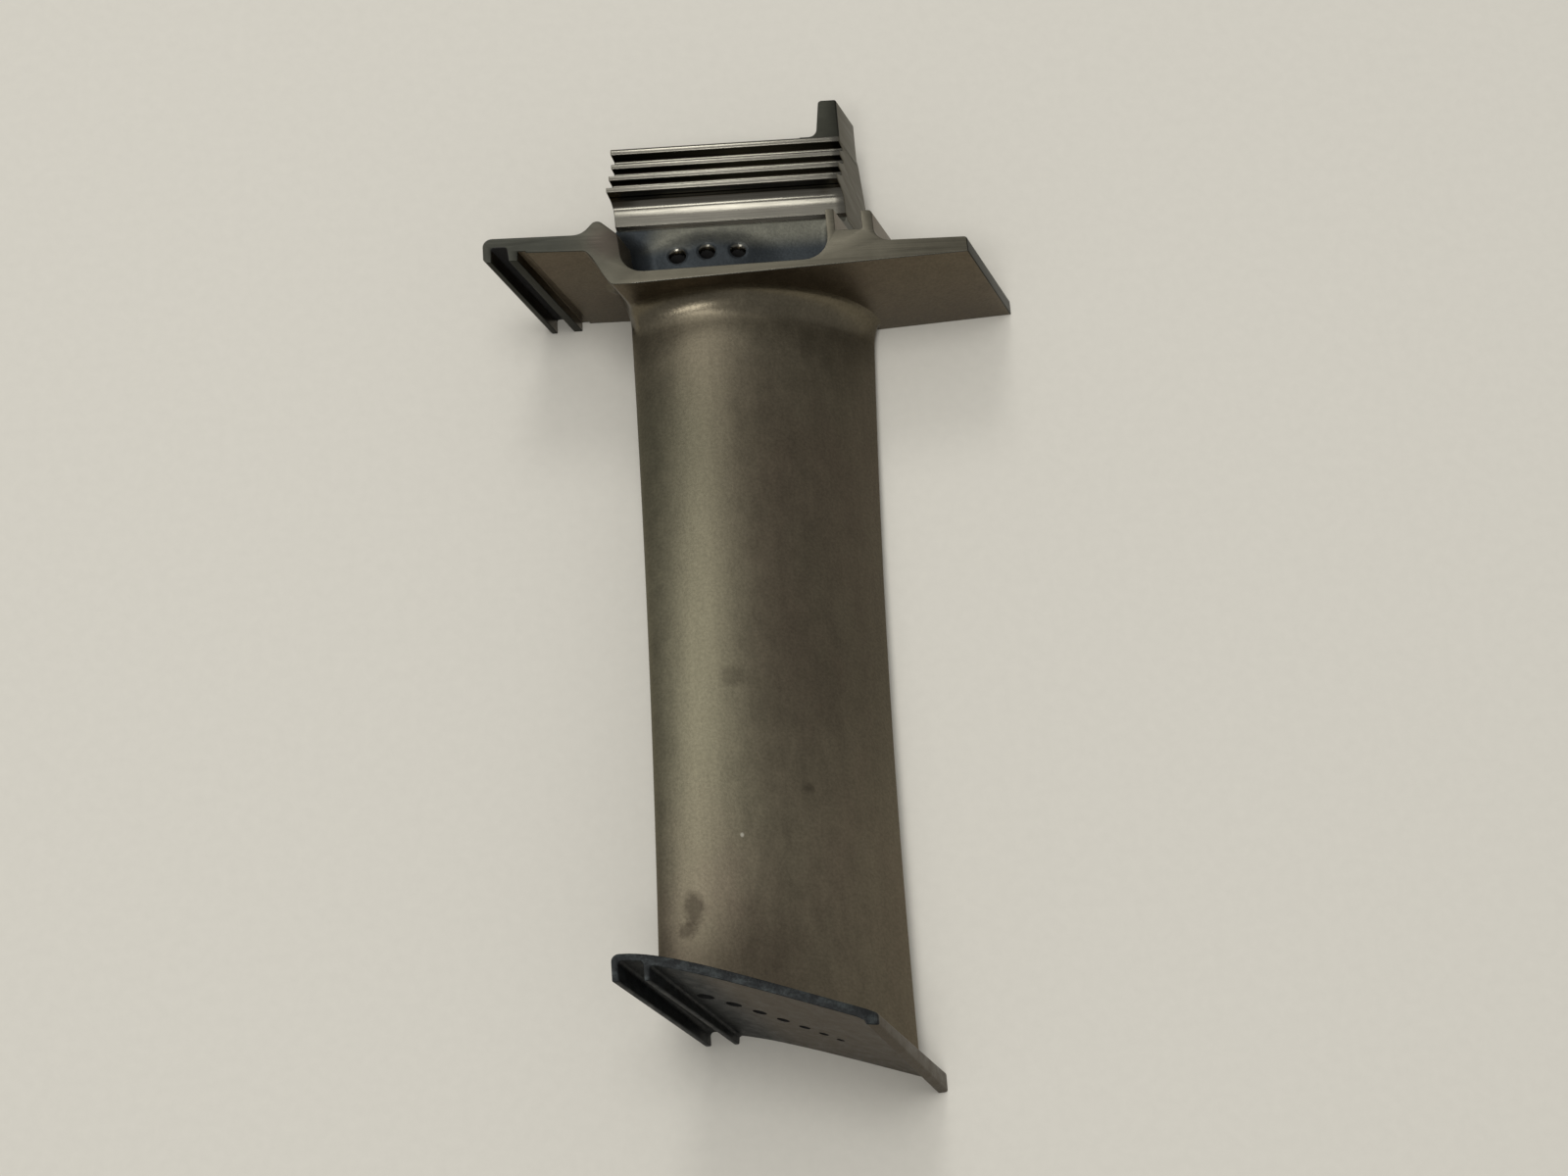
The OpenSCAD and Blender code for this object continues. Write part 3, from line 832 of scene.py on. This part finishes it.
class BLADE_OT_shank(bpy.types.Operator):
    """Shank wall between the pockets, with its fillets, dome and feed holes"""
    bl_idname = "blade.shank"
    bl_label = "Shank"

    def execute(self, context):
        _, foot, _, finish = scene_sizes()
        raw, hole = pocket_alloy(finish), hole_shade()
        front = ROOT_REAR - mm(foot.root_len)
        for name, wall, outline in (
                ("shank_front", mm(foot.web_half) - 0.12, [
                    (front - 0.9, 6.0, 0.2), (front + 0.3, 4.0, 0), (front + 0.3, 10.5, 0),
                    (front, 10.4, 0.3), (front - 0.9, 8.6, 0.4)]),
                ("shank_web", 0.6, [
                    (front + 0.1, 4.6, 0), (-9.4, 0.9, 0), (ROOT_REAR - 0.1, 1.6, 0),
                    (ROOT_REAR - 0.1, 12, 0), (front + 0.1, 12, 0)])):
            sweep(name, slanted(round_path(outline), even(ROOT_MID + wall), ROOT_MID - wall),
                  [raw, raw], rim=0.3)
        pocket_patch("upper_pocket", foot, 1, raw, hole, machined_alloy(finish))
        pocket_patch("lower_pocket", foot, -1, raw)
        return {"FINISHED"}


def root_outline(foot):
    """Fir-tree profile in (y, half width), mirrored about the middle plane.

    Each tooth is a millimetre wider than the one before. The neck's half width is the sum of a
    slope that grows towards the last tooth in four smooth steps, each weight * ease(distance).
    """
    w, p, n = mm(foot.tooth_half), mm(foot.pitch), mm(foot.neck_half)
    half = [(CREST, w - 0.05, 0.45), (CREST - 0.9, w - 0.05, 0.15),
            (TOOTH + 1.25, w - 1.2, 0.2), (TOOTH + 0.9, w - 1.2, 0.2)]
    for i in range(2):
        t, g = TOOTH - i * p, w + i
        half += [(t + 0.28, g, 0.17), (t - 0.3, g, 0.12),
                 (t - 0.6, g - 0.95, 0.2), (t - 1.05, g - 0.95, 0.25)]
    t, g = TOOTH - 2 * p, w + 2
    half += [(t + 0.28, g, 0.17), (t - 0.3, g, 0.15)]
    y = np.linspace(13.97, 10.7, 44)
    slope = (0.06 * ease((y - 10.7) / 1.2) + 0.22 * ease((y - 11.7) / 1.1)
             + 0.6 * ease((y - 12.6) / 0.75) + 2.0 * ease((y - 13.6) / 0.37))
    rise = np.cumsum(((slope[1:] + slope[:-1]) / 2 * np.diff(-y))[::-1])[::-1]
    half += [(v, n + h, 0) for v, h in zip(y, np.append(rise, 0))]
    half += [(10.66, n, 0.1), (10.2, n - 0.45, 0.1), (9.8, n - 0.5, 0.2)]
    both = half + [(y, -v, r) for y, v, r in half[::-1]]
    return round_path(both, 4)


class BLADE_OT_root(bpy.types.Operator):
    """Fir-tree root with its serrations, neck and end lug"""
    bl_idname = "blade.root"
    bl_label = "Root"

    def execute(self, context):
        _, foot, _, finish = scene_sizes()
        bright, ground = machined_alloy(finish), ground_alloy(finish)
        outline = root_outline(foot)
        ends = (ROOT_REAR - mm(foot.root_len), ROOT_REAR)

        def along_x(end, drop, inward, plate=True):
            p = inset(outline, inward)
            if end and plate:
                # the rear end of the lower side is a plain plate over the serrations
                cover = np.interp(p[:, 0], (9.0, 13.5, 14.9, 20.7, CREST), (4.6, 5.0, 5.1, 3.6, 3.1))
                under = (p[:, 1] < 0) & (p[:, 0] < CREST - 0.3)
                p[:, 1] = np.where(under, np.minimum(p[:, 1], -cover), p[:, 1])
            z = ROOT_MID + p[:, 1]
            x = ends[end] + (-drop if end else drop) - SLANT * z
            return np.stack([x, p[:, 0], z], 1)

        made = sweep("fir_tree_root", along_x, [bright, ground, machined_alloy(finish, shaded_flank=True)],
                     rim=0.1, between=[along_x(1, 1.3, 0, False), along_x(1, 1.2, 0)])
        # painted shade: the flanks that face the platform take the near-black copy of the finish
        slots = slots_of(made.data)
        facing = np.empty(len(slots) * 3)
        made.data.polygons.foreach_get("normal", facing)
        slots[(slots == 0) & (facing.reshape(-1, 3)[:, 1] < -0.93)] = 2
        made.data.polygons.foreach_set("material_index", slots)
        high, thick = CREST + mm(foot.lug_high), mm(foot.lug_thick)
        rear = ROOT_REAR + 0.03
        face = rear - thick
        lug = round_path([(rear, CREST - 0.85, 0), (rear, high, 0.25), (face, high, 0.5),
                          (face - 0.62, CREST - 0.03, 1.5), (face - 2.6, CREST - 0.03, 0),
                          (face - 2.6, CREST - 0.85, 0)], 8)
        half = mm(foot.tooth_half) - 0.1
        dark = ground_alloy(finish, oxide=True)
        sweep("end_lug", slanted(lug, even(ROOT_MID + half), ROOT_MID - half),
              [ground, dark], rim=0.14)
        return {"FINISHED"}


def shroud_outlines(foil, tip):
    """Shroud profile in (station, y) at the lean's top height and on the table.

    Each corner is (station, y, radius, fall): y on the table is y at the top less the fall.
    """
    span, plate = mm(foil.span), mm(tip.plate)

    def line(a):
        return float(shroud_line(a, span))

    crest = line(-9.5) - plate - mm(tip.fin) + 0.65
    nose, low, drop = line(NOSE), tip_low(), LEAN * LEAN_TOP
    rise = mm(tip.rim) * LEAN_TOP / 23
    corners = [(a, line(a), 0, drop) for a in np.linspace(12.8, NOSE, 30)]
    corners += [(-12.85, nose, 1.3, drop), (-12.85, crest, 0.2, 0), (-12.15, crest, 0.18, 0),
                (-12.15, nose - 0.8, 0.5, drop), (-9.6, nose - 0.85, 0.5, drop),
                (-9.6, crest, 0.18, 0), (-9.0, crest, 0.18, 0),
                (-8.95, line(-8.9) - plate, 0.35, drop)]
    corners += [(a, line(a) - plate, 0, drop) for a in np.linspace(-8.0, 11.6, 22)]
    corners += [(12.35, line(12.3) - plate - 0.15, 0.35, drop), (12.55, low + rise, 0.2, rise),
                (REAR_RIM, low + rise + 0.1, 0.3, rise), (REAR_RIM, line(REAR_RIM), 0.3, drop)]
    return [round_path([(a, y - fall * f, r) for a, y, r, fall in corners], 6) for f in (0, 1)]


class BLADE_OT_shroud(bpy.types.Operator):
    """Tip shroud with two front fins, a rear rim and the outlet holes"""
    bl_idname = "blade.shroud"
    bl_label = "Shroud"

    def execute(self, context):
        foil, _, tip, finish = scene_sizes()
        upper, lower = shroud_outlines(foil, tip)

        def at(end, drop, inward):
            p, q = inset(upper, inward), inset(lower, inward)
            z = shroud_top(p[:, 0], tip) - drop if end else np.full(len(p), drop)
            share = ((LEAN_TOP - z) / LEAN_TOP)[:, None]
            m = p * (1 - share) + q * share
            return np.stack([m[:, 0] - SLANT * z, m[:, 1], z], 1)

        shroud = sweep("tip_shroud", at,
                       [charred_alloy(finish), charred_alloy(finish, side=True), hole_shade()])
        self.drill(shroud, foil, tip)
        return {"FINISHED"}

    def drill(self, shroud, foil, tip):
        """Takes seven round outlets out of the plate, shrinking towards the trailing edge."""
        i = np.arange(7)
        x = -12.45 + 3.1 * i - 0.118 * i * i
        z = 14.95 - 0.44 * (x + 12.45) + 0.8 * (i / 6) * (1 - i / 6)
        r = mm(tip.hole_big + (tip.hole_small - tip.hole_big) * i / 6) / 2
        y = shroud_line(x + SLANT * z, mm(foil.span))
        v = np.linspace(0, 2 * math.pi, 24, endpoint=False)
        points, faces = [], []
        for k in range(7):
            around = np.stack([x[k] + r[k] * np.cos(v), 0 * v, z[k] + r[k] * np.sin(v)], 1)
            points += [around + (0, y[k] - 6, 0), around + (0, y[k] + 0.9, 0)]
            b = 48 * k
            faces += (b + np.array(ring_faces(2, 24))).tolist()
            faces += [list(range(b, b + 24))[::-1], list(range(b + 24, b + 48))]
        cutter = bpy.data.meshes.new("outlets")
        cutter.from_pydata(place(np.concatenate(points)).tolist(), [], faces)
        for m in shroud.data.materials:
            cutter.materials.append(m)
        # the outlets' walls take the painted shade of the hole material
        cutter.polygons.foreach_set("material_index", np.full(len(faces), 2, np.int32))
        outward(cutter)
        cutter.shade_smooth()
        tool = new_object("outlets", cutter)
        cut = shroud.modifiers.new("outlets", "BOOLEAN")
        cut.operation, cut.solver, cut.object = "DIFFERENCE", "EXACT", tool
        graph = bpy.context.evaluated_depsgraph_get()
        result = bpy.data.meshes.new_from_object(shroud.evaluated_get(graph), depsgraph=graph)
        shroud.modifiers.clear()
        old, shroud.data = shroud.data, result
        bpy.data.meshes.remove(old)
        bpy.data.objects.remove(tool)
        result.set_sharp_from_angle(angle=math.radians(32))


class BLADE_OT_stage(bpy.types.Operator):
    """Pale floor, soft studio light and the camera"""
    bl_idname = "blade.stage"
    bl_label = "Stage"

    def execute(self, context):
        stage = context.scene.blade_stage
        half = 3.0
        mesh = bpy.data.meshes.new("floor")
        mesh.from_pydata([(-half, -half, 0), (half, -half, 0), (half, half, 0), (-half, half, 0)], [],
                         [(0, 1, 2, 3)])
        mesh.materials.append(floor_surface(stage))
        new_object("floor", mesh)

        def soft_light(name, turn, height, away, size, watts, squash=1.0):
            """Round or squashed light facing the blade: turn from +Y to +X and height, in degrees."""
            data = bpy.data.lights.new(name, "AREA")
            data.shape, data.size, data.size_y, data.energy = "ELLIPSE", size, size * squash, watts
            lamp = new_object(name, data)
            turn, height = math.radians(turn), math.radians(height)
            flat = math.cos(height)
            where = Vector((math.sin(turn) * flat, math.cos(turn) * flat, math.sin(height)))
            lamp.location = where * away
            lamp.rotation_euler = where.to_track_quat("Z", "Y").to_euler()

        soft_light("window", -10, 43, 1.2, 0.32, stage.window)
        soft_light("wall", -18, 58, 1.3, 0.7, stage.wall)
        soft_light("ceiling", -45, 81, 1.25, 0.5, stage.ceiling)
        soft_light("lamp", -158, 60, 1.2, 0.52, stage.lamp, 0.42)
        world = bpy.data.worlds.new("studio")
        context.scene.world = world
        world.use_nodes = True
        sky = world.node_tree.nodes["Background"]
        sky.inputs["Color"].default_value = (1.0, 1.0, 1.0, 1.0)
        sky.inputs["Strength"].default_value = stage.fill

        # camera: tilt off the vertical, turn about it, distance to the point it looks at
        tilt, turn, distance = math.atan(3.6 / 7.9), math.radians(4.2), 0.416185
        target = Vector((0.001163613, 0.001655144, 0.0))
        flat = math.sin(tilt)
        back = Vector((-flat * math.sin(turn), -flat * math.cos(turn), math.cos(tilt)))
        right = Vector((math.cos(turn), -math.sin(turn), 0.0))
        up = back.cross(right)
        data = bpy.data.cameras.new("camera")
        data.sensor_width, data.lens = 36.0, 81.0
        data.clip_start, data.clip_end = 0.01, 20.0
        camera = new_object("camera", data)
        camera.location = target + back * distance
        camera.rotation_euler = Matrix((right, up, back)).transposed().to_euler()
        context.scene.camera = camera
        context.scene.view_settings.view_transform = "Standard"
        return {"FINISHED"}


class BLADE_PT_panel(bpy.types.Panel):
    """Sizes, finishes and build steps of the blade"""
    bl_idname = "BLADE_PT_panel"
    bl_label = "Turbine Blade"
    bl_space_type = "VIEW_3D"
    bl_region_type = "UI"
    bl_category = "Blade"

    def draw(self, context):
        for group in GROUPS:
            box = self.layout.box()
            box.label(text=group.split("_")[1].title())
            settings = getattr(context.scene, group)
            for key in settings.bl_rna.properties.keys():
                if key not in ("rna_type", "name"):
                    box.prop(settings, key)
        for operator in OPERATORS:
            self.layout.operator(operator.bl_idname)


GROUPS = {"blade_airfoil": BladeAirfoilSizes, "blade_foot": BladeFootSizes, "blade_tip": BladeTipSizes,
          "blade_finish": BladeFinish, "blade_stage": BladeStage}
OPERATORS = (BLADE_OT_airfoil, BLADE_OT_platform, BLADE_OT_shank, BLADE_OT_root, BLADE_OT_shroud,
             BLADE_OT_stage)
CLASSES = (*GROUPS.values(), *OPERATORS, BLADE_PT_panel)


def register():
    for cls in CLASSES:
        bpy.utils.register_class(cls)
    for name, group in GROUPS.items():
        setattr(bpy.types.Scene, name, bpy.props.PointerProperty(type=group))


def unregister():
    for name in GROUPS:
        delattr(bpy.types.Scene, name)
    for cls in reversed(CLASSES):
        bpy.utils.unregister_class(cls)


def main():
    """Builds the pieces and the stage in order."""
    register()
    for operator in OPERATORS:
        group, name = operator.bl_idname.split(".")
        getattr(getattr(bpy.ops, group), name)()


if __name__ == "__main__":
    main()
